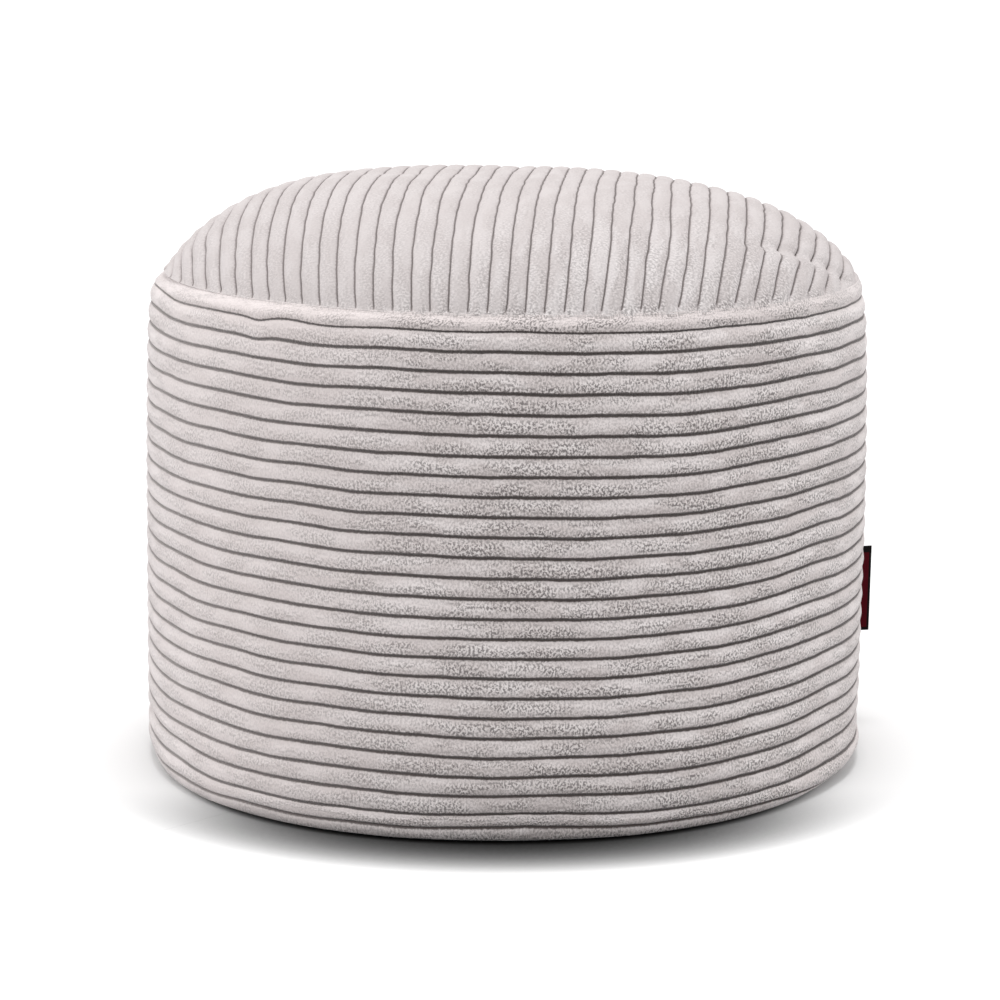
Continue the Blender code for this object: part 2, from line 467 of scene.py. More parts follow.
band_lines = wale_lines(0.0, WALES - 0.02)
last_whole = FIRST_GROOVE_AT + (LAST_WHOLE_WALE - 1) * WALE
WALE_KNOTS = [0.0, 1.0, LAST_WHOLE_WALE, LAST_WHOLE_WALE + 1, WALES]
CLOTH_KNOTS = [SEAM_AT, FIRST_GROOVE_AT, last_whole, last_whole + SQUEEZED_WALE, FLOOR_AT]
print(f"the label's seam is {math.degrees(LABEL_AZIMUTH):.1f} degrees round, and the band has {WALES} wales")
print(f"the last wale takes {1000 * (FLOOR_AT - last_whole - SQUEEZED_WALE):.1f} mm of cloth")


def band_azimuths():
    """Columns round the band, from the upright seam right round to it again."""
    even = LABEL_AZIMUTH + math.tau * np.arange(BAND_COLUMNS) / BAND_COLUMNS
    close = np.linspace(-1, 1, SEAM_COLUMNS) ** 3 * SEAM_ZONE / BAG_RADIUS
    near = LABEL_AZIMUTH + np.where(close < 0, math.tau + close, close)
    joined = np.unique(np.round(np.concatenate([even, near]), 7))
    return joined[joined < LABEL_AZIMUTH + math.tau - 1e-6]


# %% [markdown]
# A few places are given one by one: where the seam has pinched the first two
# wales, where the beads have sunk and the wales sag, and the wavy last wales over
# the foot.
# The tables give each its angle, its wale, how far it reaches both ways, and how
# far it moves the cloth, down along the bag or outwards.

# %% Sags and pinches in the band's wales
# angle (degrees), wale, reach (degrees), reach (wales), shift down (metres)
BAND_SAGS = (
    (25, 12, 15, 14, 0.0013),
    (55, 12, 13, 14, -0.0017),
    (-40, 1.2, 2.2, 1.3, 0.0022),
    (-34, 1, 4, 1.2, -0.0007),
    (52, 1.2, 4, 1.3, 0.0010),
    (-74, 1.5, 9, 1.8, -0.0022),
    (2, 25.6, 7, 1.3, -0.0011),
    (34, 25.4, 9, 1.6, 0.0016),
    (62, 24.5, 9, 2.2, -0.0012),
    (60, 26, 13, 0.6, 0.0045),
    (-66, 24.6, 13, 0.9, -0.0038),
    (-5, 4.5, 14, 3, -0.0013),
)
# angle (degrees), wale, reach (degrees), reach (wales), push outwards (metres)
BAND_BULGES = (
    (72, 25.4, 16, 0.7, 0.0036),
    (70, 26.6, 17, 0.45, -0.0035),
    (-80, 24, 10, 0.35, -0.0020),
    (-84, 26.5, 16, 0.5, -0.0030),
    (-88, 0.35, 22, 0.50, -0.0030),
    (0, 26.5, 40, 0.4, 0.0010),
    (93, 19, 14, 5, -0.0020),
)


def signed_degrees(azimuth):
    return (np.degrees(azimuth) + 180.0) % 360.0 - 180.0


def band_shift(wale, azimuth):
    """How far the cloth has moved down along the bag, in metres."""
    shift = hand_placed(BAND_SAGS, signed_degrees(azimuth), wale)
    along = azimuth * BAG_RADIUS
    shift += GROOVE_WANDER * wander(along, wale * WALE, 0.110, 3)
    shift += RIPPLE_SHARE * GROOVE_WANDER * wander(along, wale * WALE * 2.5, 0.030, 4)
    round_share = (azimuth - LABEL_AZIMUTH) / math.tau - 0.5
    return shift + STRIP_MISMATCH * WALE * round_share ** 3 * 4


def band_bulge(wale, azimuth):
    """How far the beads have pushed the cloth out, in metres."""
    return hand_placed(BAND_BULGES, signed_degrees(azimuth), wale)


# %% Build the side band
def make_side_band():
    azimuth = band_azimuths()[None, :]
    wale = band_lines[:, None]
    at = np.interp(wale, WALE_KNOTS, CLOTH_KNOTS) + band_shift(wale, azimuth)
    at = np.clip(at, SEAM_AT, FLOOR_AT)
    at = np.where(wale == 0.0, SEAM_AT - SEAM_OVERLAP, at)
    points = bag_surface(at, azimuth)
    normals = grid_normals(points, wraps=True)
    section = wale_section(wale, clamped((np.abs(points[..., 0]) - SIDES_FROM) / SIDES_OVER))
    at_top = clamped((at - SEAM_AT) / ROLL_HEIGHT)
    depth = GROOVE_DEPTH * np.where(wale < 1.0, at_top, 1.0)
    press = depth * (1.0 - section)
    gap = (azimuth - LABEL_AZIMUTH + math.pi) % math.tau - math.pi
    off_seam = gap * BAG_RADIUS
    press = press + UPRIGHT_SEAM_DEPTH * bell(off_seam, 0.0, UPRIGHT_SEAM_WIDTH)
    press = press + UPRIGHT_SEAM_PULL * bell(off_seam, 0.0, UPRIGHT_SEAM_PULL_WIDTH)
    press = press - band_bulge(wale, azimuth)
    points = points - normals * press[..., None]
    points[..., 2] = np.maximum(points[..., 2], 0.0)

    rows, columns, _ = points.shape
    faces = grid_faces(rows, columns, wraps=True)
    tuck_top = points[0] * [TUCK_IN, TUCK_IN, 1.0] - [0.0, 0.0, BAND_TUCK_DOWN]
    tuck_foot = points[-1] * [FOOT_TUCK_IN, FOOT_TUCK_IN, 0.0] + [0.0, 0.0, FOOT_TUCK_UP]
    points = np.concatenate([points, tuck_top[None], tuck_foot[None]])
    wales = np.broadcast_to(wale, (rows, columns))
    wales = np.concatenate([wales, wales[:1], wales[-1:]])
    along = np.broadcast_to(azimuth * BAG_RADIUS, wales.shape)

    last_row, top_row, foot_row = (rows - 1) * columns, rows * columns, (rows + 1) * columns
    for i in range(columns):
        j = (i + 1) % columns
        faces.append([top_row + i, i, j, top_row + j])
        faces.append([last_row + i, foot_row + i, foot_row + j, last_row + j])
    faces.append([top_row + i for i in range(columns)])
    faces.append([foot_row + i for i in reversed(range(columns))])
    return cloth_object("side_band_cloth", points, faces, wales, along)


side_band = make_side_band()

# %% [markdown]
# ## The top panel
# The top panel is a circle of the same cloth with its wales running front to back,
# turned a few degrees. On the cutting table a wale is a straight line. Sewn in, the
# flat circle is wrapped over the crown, so the panel is built flat, as columns
# along the wales, and each point is then carried to the bag at its own distance
# from the middle. That gives the wales their slight bow and closes them up towards
# the edge for free.

# %% The top panel's creases
TOP_WALE_TURN = math.radians(-3.7)
TOP_ROWS = 186
TOP_WALE_COUNT = 100  # the top's middle groove has this number, so that none is below 1
RIM_SHARE = 0.9992  # the outermost mesh line, as a share of the way to the seam
ROW_CROWDING = 0.1  # how much the rows crowd towards both ends of a wale
TOP_EDGE_FADE = 0.0050  # the grooves run out over this much cloth at the seam
SLIP_FADE = 0.02  # and the sags over this much
TOP_GROOVE_WANDER = 0.00045  # slow, and a quicker one beside it
TOP_RIPPLE_SHARE = 0.45
TOP_SIDE_DEPTH = 0.6  # the grooves are this much deeper at the left and right of the crown
TOP_SIDES_FROM, TOP_SIDES_OVER = 0.12, 0.09
# place on the bag x, y, reach across and along the wales, shift across them (metres)
TOP_SAGS = (
    (-0.222, -0.040, 0.010, 0.014, 0.0030),
    (-0.212, 0.020, 0.012, 0.020, -0.0030),
    (-0.200, -0.090, 0.014, 0.016, -0.0016),
    (-0.215, -0.060, 0.040, 0.110, -0.0040),
    (0.120, 0.000, 0.090, 0.200, -0.0040),
    (0.190, 0.055, 0.018, 0.020, -0.0016),
    (0.205, 0.000, 0.016, 0.018, 0.0016),
)
# the two ends of a shallow crease (x, y), and its width and its depth (metres)
TOP_CREASE = ((0.160, -0.128), (0.232, -0.072), 0.005, 0.0024)
CREASE_SLIP = 0.0018  # how far the wales have slipped on either side of it
CREASE_SLIP_REACH = 0.022
CREASE_SLIP_STEP = 0.0015  # the cloth over which one side's slip turns into the other's


def flat_place(x, y):
    """A place on the bag from above, as (across, along) on the turned, flat panel."""
    c, s = math.cos(TOP_WALE_TURN), math.sin(TOP_WALE_TURN)
    return x * c - y * s, x * s + y * c


def top_shift(across, along):
    shift = hand_placed([(*flat_place(x, y), *rest) for x, y, *rest in TOP_SAGS], across, along)
    shift += TOP_GROOVE_WANDER * wander(across * 2.0, along, 0.10, 11)
    return shift + TOP_RIPPLE_SHARE * TOP_GROOVE_WANDER * wander(across * 2.5, along, 0.030, 12)


def along_crease(points):
    """Where points are along the crease, from 0 to 1, and how far to its outer side, in metres."""
    start, end = np.array(TOP_CREASE[0]), np.array(TOP_CREASE[1])
    line = end - start
    length = np.linalg.norm(line)
    place = points[..., :2] - start
    share = place @ line / length ** 2
    side = (place[..., 0] * line[1] - place[..., 1] * line[0]) / length
    return share, side


def crease_press(points):
    """How far the shallow crease presses the cloth in."""
    share, side = along_crease(points)
    width, depth = TOP_CREASE[2:]
    fade = clamped(4.0 * share) * clamped(4.0 * (1.1 - share))
    return depth * bell(side, 0.0, width) * fade


def crease_slip(points):
    """How far the wales have slipped across, one way above the crease and the other below."""
    share, side = along_crease(points)
    fade = clamped(3.0 * share) * clamped(4.0 * (1.15 - share))
    return CREASE_SLIP * np.tanh(side / CREASE_SLIP_STEP) * np.exp(-np.abs(side) / CREASE_SLIP_REACH) * fade


# %% Build the top panel
def make_top_panel():
    limit = SEAM_AT / WALE
    lines = wale_lines(-math.ceil(limit), math.ceil(limit))
    lines = lines[np.abs(lines) < limit * RIM_SHARE]
    step = np.linspace(-1.0, 1.0, TOP_ROWS)
    step = (1 + ROW_CROWDING) * step - ROW_CROWDING * step ** 7
    across = np.broadcast_to(lines[None, :] * WALE, (TOP_ROWS, len(lines)))
    along = step[:, None] * np.sqrt(SEAM_AT ** 2 - (lines * WALE) ** 2)[None, :]

    to_edge = SEAM_AT - np.hypot(across, along)
    c, s = math.cos(TOP_WALE_TURN), math.sin(TOP_WALE_TURN)
    seen_above = np.stack([across * c + along * s, along * c - across * s], axis=-1)
    slip = top_shift(across, along) + crease_slip(seen_above)
    inside = clamped(to_edge / SLIP_FADE)
    from_middle = np.minimum(np.hypot(across + slip * inside, along), SEAM_AT)
    azimuth = np.arctan2(across + slip, -along) + TOP_WALE_TURN
    points = bag_surface(from_middle, azimuth)
    normals = grid_normals(points, wraps=False)
    fade = clamped(to_edge / TOP_EDGE_FADE)
    sides = clamped((np.abs(points[..., 0]) - TOP_SIDES_FROM) / TOP_SIDES_OVER)
    depth = GROOVE_DEPTH * (1.0 + TOP_SIDE_DEPTH * sides)
    press = depth * (1.0 - wale_section(lines))[None, :] * fade + crease_press(points) * fade
    points = points - normals * press[..., None]

    rows, columns, _ = points.shape
    faces = grid_faces(rows, columns, wraps=False)
    index = np.arange(rows * columns).reshape(rows, columns)
    rim = np.concatenate([index[0], index[1:, -1], index[-1, -2::-1], index[-2:0:-1, 0]])
    tuck = points.reshape(-1, 3)[rim] * [TUCK_IN, TUCK_IN, 1.0] - [0.0, 0.0, TOP_TUCK_DOWN]
    first = rows * columns
    count = len(rim)
    for i in range(count):
        j = (i + 1) % count
        faces.append([int(rim[i]), int(rim[j]), first + j, first + i])
    faces.append([first + i for i in range(count)])
    points = np.concatenate([points.reshape(-1, 3), tuck])
    wale = np.broadcast_to(lines[None, :] + TOP_WALE_COUNT, (rows, columns)).ravel()
    wale = np.concatenate([wale, wale[rim]])
    far = np.concatenate([along.ravel(), along.ravel()[rim]])
    return cloth_object("top_panel_cloth", points, faces, wale, far)


top_panel = make_top_panel()

# %% [markdown]
# ## The bottom panel
# Nothing of the bottom panel shows, so it is plain woven cloth: a flat disc that
# lies on the floor inside the turned-under foot.

# %% Build the bottom panel
BASE_RINGS = 6
BASE_SIDES = 96
BASE_CLEARANCE = 0.0015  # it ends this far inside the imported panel
BASE_RADIUS = (base_high.y - base_low.y) / 2 - BASE_CLEARANCE


def make_bottom_panel():
    centre_x = (base_low.x + base_high.x) / 2
    angle = np.linspace(0, math.tau, BASE_SIDES, endpoint=False)
    under = [(BASE_RADIUS * i / BASE_RINGS, base_low.z) for i in range(1, BASE_RINGS + 1)]
    over = [(BASE_RADIUS, base_high.z)]
    over += [(BASE_RADIUS * i / BASE_RINGS, base_high.z) for i in range(BASE_RINGS - 1, 0, -1)]
    rings = under + over
    points = np.array([[(centre_x + r * math.cos(a), r * math.sin(a), z) for a in angle] for r, z in rings])
    faces = [face[::-1] for face in grid_faces(len(rings), BASE_SIDES, wraps=True)]
    faces.append(list(reversed(range(BASE_SIDES))))
    faces.append([(len(rings) - 1) * BASE_SIDES + i for i in range(BASE_SIDES)])
    return cloth_object("bottom_panel_cloth", points, faces)


bottom_panel = make_bottom_panel()

# %% [markdown]
# ## The label
# A woven label is a ribbon folded once, with both raw ends caught in the upright
# seam. It is a thin strip, so it is built as its own path, seen from above, swept
# upwards: out along one face, round the fold, and back along the other.

# %% Build the label
LABEL_PLY = 0.0008
LABEL_GAP = 0.0004
LABEL_STRETCH = 0.0006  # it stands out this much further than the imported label's corner
LABEL_REACH = math.hypot(label_high.x, label_high.y) - BAG_RADIUS + LABEL_STRETCH
LABEL_CAUGHT = 0.004  # how much of each end is caught in the seam
LABEL_ROWS = 25
LABEL_OUT_POINTS = 14
LABEL_FOLD_POINTS = 9
LABEL_CURL = 0.0009  # sideways, its top one way and its bottom the other
LABEL_LEAN = 0.0008  # how much further its top stands out


def label_path(offset):
    """The folded ribbon from above, offset from its middle line to one of its faces."""
    half = LABEL_GAP / 2 + LABEL_PLY / 2
    root = BAG_RADIUS - LABEL_CAUGHT
    fold = BAG_RADIUS + LABEL_REACH - half - LABEL_PLY
    out = np.linspace(root, fold, LABEL_OUT_POINTS)
    turn = np.linspace(-math.pi / 2, math.pi / 2, LABEL_FOLD_POINTS)[1:-1]
    radius = half + offset
    front = np.column_stack([out, np.full(len(out), -radius)])
    bend = np.column_stack([fold + radius * np.cos(turn), radius * np.sin(turn)])
    back = front[::-1] * [1, -1]
    return np.concatenate([front, bend, back])


def make_label():
    loop = np.concatenate([label_path(LABEL_PLY / 2), label_path(-LABEL_PLY / 2)[::-1]])
    height = np.linspace(label_low.z, label_high.z, LABEL_ROWS)
    share = np.linspace(-1, 1, LABEL_ROWS)
    points = []
    for z, s in zip(height, share):
        reach = loop[:, 0] + LABEL_LEAN * s * (loop[:, 0] - BAG_RADIUS) / LABEL_REACH
        side = loop[:, 1] + LABEL_CURL * s * ((loop[:, 0] - BAG_RADIUS) / LABEL_REACH) ** 2
        x = reach * math.sin(LABEL_AZIMUTH) + side * math.cos(LABEL_AZIMUTH)
        y = -reach * math.cos(LABEL_AZIMUTH) + side * math.sin(LABEL_AZIMUTH)
        points.append(np.column_stack([x, y, np.full(len(x), z)]))
    points = np.array(points)
    rows, columns, _ = points.shape
    faces = grid_faces(rows, columns, wraps=True)
    for row in (0, rows - 1):
        start, end = row * columns, (row + 1) * columns - 1
        for i in range(columns // 2 - 1):
            quad = [start + i, start + i + 1, end - 1 - i, end - i]
            faces.append(quad if row == 0 else quad[::-1])
    across = np.broadcast_to(loop[:, 0] - BAG_RADIUS, (rows, columns))
    tall = np.broadcast_to(height[:, None] - label_low.z, (rows, columns))
    return cloth_object("label_ribbon", points, faces, across, tall)


label = make_label()

# %% [markdown]
# ## Materials
# Corduroy pile is short and stands up, so it is matt, a little lighter where it is
# seen from the side, and darker where the eye looks down into it; here that
# darkening is painted shade between the tufts, laid mostly on the front. Three
# effects are shared by both panels, and each is a node group: the grooves with their
# painted shade, the nap that has been brushed this way and that along each wale,
# and the grain of the pile itself, with painted shade between its tufts and painted
# highlights on their tips.

# %% Helpers for node trees
def link(tree, source, target):
    """Join an output to a socket, or give the socket a plain number or colour."""
    if isinstance(source, bpy.types.NodeSocket):
        tree.links.new(source, target)
    else:
        target.default_value = source


def new_node(tree, kind, **values):
    """A node whose inputs are given by name, with _ for a space."""
    node = tree.nodes.new(kind)
    for name, value in values.items():
        link(tree, value, node.inputs[name.replace("_", " ")])
    return node


def new_group(name, inputs, outputs):
    """An empty node group. inputs are (name, default), outputs are names."""
    group = bpy.data.node_groups.new(name, "ShaderNodeTree")
    for title, default in inputs:
        socket = group.interface.new_socket(name=title, in_out="INPUT", socket_type="NodeSocketFloat")
        socket.default_value = default
    for title in outputs:
        group.interface.new_socket(name=title, in_out="OUTPUT", socket_type="NodeSocketFloat")
    given = group.nodes.new("NodeGroupInput").outputs
    return group, given, group.nodes.new("NodeGroupOutput").inputs


def math_node(tree, operation, *values):
    node = tree.nodes.new("ShaderNodeMath")
    node.operation = operation
    for value, socket in zip(values, node.inputs):
        link(tree, value, socket)
    return node.outputs[0]


def scaled(tree, value, amount, plus=None):
    """value * amount, and plus something where it is given."""
    if plus is None:
        return math_node(tree, "MULTIPLY", value, amount)
    return math_node(tree, "MULTIPLY_ADD", value, amount, plus)


def ramp_node(tree, value, low, high):
    """0 at low and 1 at high, with a soft step between. low may be the larger one."""
    node = new_node(tree, "ShaderNodeMapRange", Value=value, From_Min=low, From_Max=high)
    node.interpolation_type = "SMOOTHSTEP"
    return node.outputs["Result"]


def noise_node(tree, place, scale, detail=2.0, roughness=0.5):
    node = new_node(tree, "ShaderNodeTexNoise", Vector=place, Scale=scale, Detail=detail, Roughness=roughness)
    return node.outputs["Fac"]


def vector_node(tree, x, y, z=0.0):
    return new_node(tree, "ShaderNodeCombineXYZ", X=x, Y=y, Z=z).outputs["Vector"]


def mix_colours(tree, share, first, second):
    node = tree.nodes.new("ShaderNodeMix")
    node.data_type = "RGBA"
    link(tree, share, node.inputs["Factor"])
    for name, colour in (("A", first), ("B", second)):
        link(tree, (*colour, 1.0) if isinstance(colour, tuple) else colour, node.inputs[name])
    return node.outputs["Result"]


def object_place(tree):
    return tree.nodes.new("ShaderNodeTexCoord").outputs["Object"]


def place_parts(tree):
    """The X, Y and Z of a place on the object, as outputs."""
    return new_node(tree, "ShaderNodeSeparateXYZ", Vector=object_place(tree)).outputs


def cloth_field(tree, name):
    """One of the two fields that the meshes carry: which wale it is, or how far along it."""
    node = tree.nodes.new("ShaderNodeAttribute")
    node.attribute_name = name
    return node.outputs["Fac"]


# %% The groove group
FUR_GRAIN = 700.0  # in clumps of fur to the metre, about
GROOVE_CORE = 0.45  # the dark core of a groove's painted shade, as a share of its width


def groove_group():
    """A mask for the bare, shaded bottom of each groove, with a ragged, furry edge."""
    given_names = [("Wale", 0.0), ("Width", 0.06), ("Fur", 0.05)]
    group, given, out = new_group("corduroy_groove", given_names, ["Groove", "Low Side", "High Side"])
    share = math_node(group, "FRACT", given["Wale"])
    off_crest = math_node(group, "ABSOLUTE", math_node(group, "SUBTRACT", share, 0.5))
    away = math_node(group, "SUBTRACT", 0.5, off_crest)
    fur = math_node(group, "SUBTRACT", noise_node(group, object_place(group), FUR_GRAIN, 1.0), 0.5)
    away = math_node(group, "ADD", away, scaled(group, fur, given["Fur"]))
    edge = ramp_node(group, away, scaled(group, given["Width"], GROOVE_CORE), given["Width"])
    past_seam = ramp_node(group, given["Wale"], 0.3, 0.5)
    link(group, scaled(group, math_node(group, "SUBTRACT", 1.0, edge), past_seam), out["Groove"])
    link(group, ramp_node(group, share, 0.40, 0.95), out["Low Side"])
    link(group, ramp_node(group, share, 0.45, 0.05), out["High Side"])
    return group


# %% The nap group
def place_on_wale(group, given, per_metre, own, across):
    """A place in a texture: along the wale, a different place for each wale, and across it."""
    run = scaled(group, given["Along"], per_metre)
    which = scaled(group, math_node(group, "FLOOR", given["Wale"]), own)
    return vector_node(group, run, which, scaled(group, given["Wale"], across))


def nap_group():
    """Patches of pile lying this way or that, each wale with its own."""
    given_names = [("Wale", 0.0), ("Along", 0.0), ("Patches per metre", 26.0)]
    group, given, out = new_group("corduroy_nap", given_names, ["Nap", "Slow Nap"])
    place = place_on_wale(group, given, given["Patches per metre"], own=7.31, across=0.9)
    patch = noise_node(group, place, 1.0, 2.0, 0.55)
    link(group, ramp_node(group, patch, 0.40, 0.60), out["Nap"])
    slow = noise_node(group, object_place(group), 13.0, 1.0)
    link(group, ramp_node(group, slow, 0.35, 0.65), out["Slow Nap"])
    return group


# %% The pile group
TUFTS_ALONG = 720.0  # tufts to the metre; each is a little longer across the wale
TUFTS_ACROSS = 560.0
TUFT_PATCHES_PER_METRE = 30.0  # patches in which the tufts' painted shade and highlights show more, to the metre


def pile_group():
    """The grain of the standing pile: painted shade between its tufts, painted highlights on their tips, and
    their height.
    """
    given_names = [("Wale", 0.0), ("Along", 0.0), ("Openness", 0.5), ("Evenness", 0.36)]
    group, given, out = new_group("corduroy_pile", given_names, ["Shade", "Tuft Highlight", "Height"])
    run = scaled(group, given["Along"], TUFTS_ALONG)
    across = scaled(group, given["Wale"], WALE * TUFTS_ACROSS)
    tufts = noise_node(group, vector_node(group, run, across), 1.0, 1.8, 0.65)

    place = place_on_wale(group, given, TUFT_PATCHES_PER_METRE, own=3.7, across=1.4)
    patch = ramp_node(group, noise_node(group, place, 1.0, 2.0, 0.6), 0.38, 0.58)
    rest = math_node(group, "SUBTRACT", 1.0, given["Evenness"])
    patch = scaled(group, patch, rest, given["Evenness"])
    tuft_shading_here = scaled(group, patch, given["Openness"])
    link(group, scaled(group, ramp_node(group, tufts, 0.54, 0.42), tuft_shading_here), out["Shade"])
    link(group, scaled(group, ramp_node(group, tufts, 0.54, 0.64), tuft_shading_here), out["Tuft Highlight"])
    link(group, scaled(group, tufts, patch), out["Height"])
    return group


groove_nodes, nap_nodes, pile_nodes = groove_group(), nap_group(), pile_group()


# %% [markdown]
# The corduroy material puts the three together. Both panels are the same cloth, so
# one function makes both, with its own amounts: the band gets more painted shade
# between its tufts and more painted highlights on them, mostly at the front, and
# the top lies smoother, with less of them, and, since it gets more light from above,
# is given darker colours. On the band, the shader also paints shade on the two
# sides of each wale, on the low side only at the front.

# %% Where the tufts get painted shade and highlights, and how strongly each effect shows
SEAM_TUFT_SHADING = 0.55  # more painted tuft shade and highlights along the seam, on both panels
SEAM_BELOW = (-0.012, -0.006)  # from the seam, where that starts and where it is full
SEAM_ABOVE = (0.012, 0.001)
SHADED_FRONT_TURN = math.radians(24)  # and more at the front, a little to the right, where the light from above grazes the pile
SHADED_FRONT = (-0.130, -0.235)  # from the middle, where that starts and where it is full
# the tufts' painted shade and highlights away from the front, against the front
SIDE_TUFT_SHADING = 0.42
GROOVES_CLOSE = (-0.12, -0.245)  # the grooves close up from the first X to the second, and their painted shade fades
CLOSED_GROOVE = 0.25  # how much fainter a closed groove's painted shade is
SIDE_GROOVE = 0.15  # and how much fainter the painted groove shade is away from the front
FIRST_GROOVE_WIDTH = 0.65  # the groove next to the seam, against the others
GROOVE_FUR = 0.075
SLOW_NAP = 0.25
WALE_SHADE = 0.66  # the painted shade on a wale's sides, against its dark colour
LOW_SHADE = 0.83  # how much of it there is on the low side, at the front, which the light from above misses
# and on the high side, toning down the light from above on a wale's upper shoulder
HIGH_SHADE = 0.58
# painted shade over the roll under the seam, which catches the light from above
SEAM_SHADE = 1.20
TUFT_HIGHLIGHT_COLOUR = (0.99, 0.95, 0.94)  # a painted highlight on a tuft's tip that faces the eye
TUFT_HIGHLIGHT_AMOUNT = 0.85
TUFT_SHADE = 0.10  # the painted shade between tufts, against the dark colour
PILE_HEIGHT = 0.0010


# %% The corduroy material
def new_material(name, roughness, specular=0.5):
    """A material, its node tree and its shader's inputs."""
    material = bpy.data.materials.new(name)
    material.use_nodes = True
    shader = material.node_tree.nodes["Principled BSDF"].inputs
    shader["Roughness"].default_value = roughness
    shader["Specular IOR Level"].default_value = specular
    return material, material.node_tree, shader


def add_relief(tree, shader, height, distance, strength=1.0):
    relief = new_node(tree, "ShaderNodeBump", Height=height, Distance=distance, Strength=strength)
    link(tree, relief.outputs["Normal"], shader["Normal"])


def place_group(tree, group, **values):
    node = tree.nodes.new("ShaderNodeGroup")
    node.node_tree = group
    for name, value in values.items():
        link(tree, value, node.inputs[name])
    return node.outputs


def times(colour, amount):
    return tuple(amount * c for c in colour)


def corduroy(name, light, dark, groove_shade_colour, tuft_shading, nap_amount, low_side, groove_width,
             bump, sheen, sides):
    material, tree, shader = new_material(name, roughness=0.95, specular=0.0)
    shader["Sheen Weight"].default_value = sheen
    shader["Sheen Roughness"].default_value = 0.45
    wale, along, place = cloth_field(tree, "wale"), cloth_field(tree, "along"), place_parts(tree)

    past_first = ramp_node(tree, wale, 1.3, 1.7)
    narrowed = scaled(tree, past_first, 1 - FIRST_GROOVE_WIDTH, FIRST_GROOVE_WIDTH)
    width = scaled(tree, narrowed, groove_width)
    groove = place_group(tree, groove_nodes, Wale=wale, Width=width, Fur=GROOVE_FUR)
    nap = place_group(tree, nap_nodes, Wale=wale, Along=along)

    under = ramp_node(tree, place["Z"], SEAM_HEIGHT + SEAM_BELOW[0], SEAM_HEIGHT + SEAM_BELOW[1])
    over = ramp_node(tree, place["Z"], SEAM_HEIGHT + SEAM_ABOVE[0], SEAM_HEIGHT + SEAM_ABOVE[1])
    at_seam = scaled(tree, under, over)
    toward = scaled(tree, place["Y"], math.cos(SHADED_FRONT_TURN))
    toward = scaled(tree, place["X"], -math.sin(SHADED_FRONT_TURN), toward)
    front_shading = ramp_node(tree, toward, *SHADED_FRONT)
    tuft_shading_here = scaled(tree, groove["High Side"], -tuft_shading * low_side, tuft_shading)
    tuft_shading_here = math_node(tree, "MAXIMUM", tuft_shading_here, scaled(tree, at_seam, SEAM_TUFT_SHADING))
    tuft_shading_here = scaled(tree, tuft_shading_here, scaled(tree, front_shading, 1 - SIDE_TUFT_SHADING, SIDE_TUFT_SHADING))
    pile = place_group(tree, pile_nodes, Wale=wale, Along=along, Openness=tuft_shading_here)

    # how strong the painted shade in the grooves is
    clear = ramp_node(tree, at_seam, 0.99, 0.93) if low_side == 0 else 1.0
    closed = ramp_node(tree, place["X"], *GROOVES_CLOSE)
    deep = scaled(tree, scaled(tree, closed, -CLOSED_GROOVE, 1.0), clear)
    deep = scaled(tree, deep, scaled(tree, front_shading, SIDE_GROOVE, 1 - SIDE_GROOVE))

    brushed = scaled(tree, nap["Nap"], nap_amount, 0.5 - nap_amount / 2)
    shaded = times(dark, WALE_SHADE)
    low_shade = scaled(tree, scaled(tree, groove["Low Side"], LOW_SHADE * low_side), front_shading)
    colour = mix_colours(tree, brushed, light, dark)
    # how much of each further colour lies over the ones before it, in this order; all but the slow nap are
    # painted shade or painted highlight
    for share, over_it in (
            (scaled(tree, nap["Slow Nap"], SLOW_NAP), dark),
            (low_shade, shaded),
            (scaled(tree, groove["High Side"], HIGH_SHADE * low_side), shaded),
            # painted shade: darker away from the front, evening it with the painted shade at the front
            (scaled(tree, front_shading, -sides, sides), dark),
            (scaled(tree, pile["Tuft Highlight"], TUFT_HIGHLIGHT_AMOUNT), TUFT_HIGHLIGHT_COLOUR),
            (scaled(tree, at_seam, SEAM_SHADE * low_side), dark),
            (pile["Shade"], times(dark, TUFT_SHADE)),
            (scaled(tree, groove["Groove"], deep), groove_shade_colour)):
        colour = mix_colours(tree, share, colour, over_it)
    link(tree, colour, shader["Base Color"])
    add_relief(tree, shader, pile["Height"], PILE_HEIGHT, bump)
    return material


# painted light and shade: one cloth, but the top, which gets more light from above, is given darker colours
# and a lighter groove shade than the band
top_cord = corduroy("top_corduroy", light=(0.650, 0.612, 0.610), dark=(0.530, 0.487, 0.482),
                    groove_shade_colour=(0.29, 0.26, 0.255), tuft_shading=0.30, nap_amount=0.75,
                    low_side=0.0, groove_width=0.072, bump=0.35, sheen=0.05, sides=0.60)
band_cord = corduroy("band_corduroy", light=(0.93, 0.865, 0.86), dark=(0.73, 0.66, 0.65),
                     groove_shade_colour=(0.105, 0.087, 0.083), tuft_shading=0.72, nap_amount=0.80,
                     low_side=0.60, groove_width=0.125, bump=1.0, sheen=0.50, sides=0.62)


# %% The woven base cloth
WEAVE_CHECKS = 900.0  # threads to the metre, about


def plain_cloth():
    material, tree, shader = new_material("base_cloth", roughness=0.9)
    place = object_place(tree)
    shade = noise_node(tree, place, 60.0, 3.0)
    link(tree, mix_colours(tree, shade, (0.44, 0.42, 0.40), (0.36, 0.34, 0.33)), shader["Base Color"])
    weave = new_node(tree, "ShaderNodeTexChecker", Vector=place, Scale=WEAVE_CHECKS)
    add_relief(tree, shader, weave.outputs["Fac"], 0.0003)
    return material


# %% [markdown]
# The label is a black ribbon with a plain dark red field woven into it. Ribbon has
# fine ribs across it, one for each pass of the shuttle.

